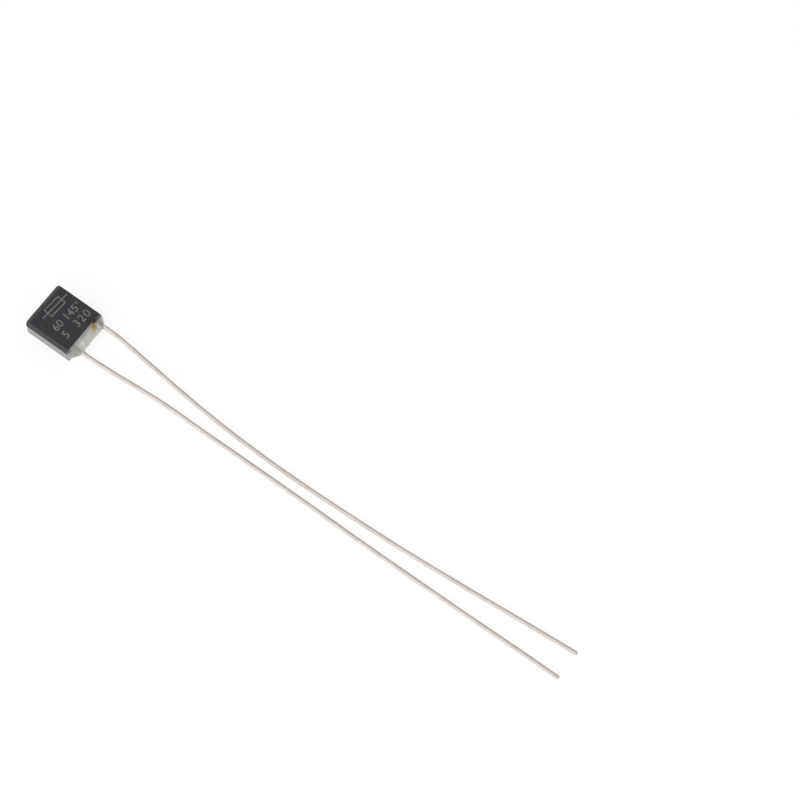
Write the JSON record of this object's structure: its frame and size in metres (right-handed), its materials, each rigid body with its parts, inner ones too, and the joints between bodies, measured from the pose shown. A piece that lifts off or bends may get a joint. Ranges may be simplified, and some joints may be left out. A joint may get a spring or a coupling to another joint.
{
  "type": "thermal fuse",
  "caption": "Square radial thermal fuse: a moulded black case sealed with pale epoxy, with long tinned leads that bend down to the surface it lies on.",
  "frame": {"origin": "centre of the case's back face, which lies on the surface", "axes": "+Z out of the front face, the leads leave the case towards -Y, +X to the right seen from above with the leads pointing down"},
  "size_m": [0.0063, 0.073, 0.0025],
  "materials": {
    "black_plastic": "matte charcoal moulding",
    "pale_epoxy": "pale, slightly translucent resin",
    "tinned_copper": "satin tin over copper",
    "fusible_alloy": "dull low-melting alloy",
    "amber_flux": "amber resin flux"
  },
  "bodies": {
    "root": {"case": "black_plastic", "epoxy_seal": "pale_epoxy", "left_lead": "tinned_copper", "right_lead": "tinned_copper", "fusible_alloy": "fusible_alloy", "flux": "amber_flux"}
  },
  "joints": []
}
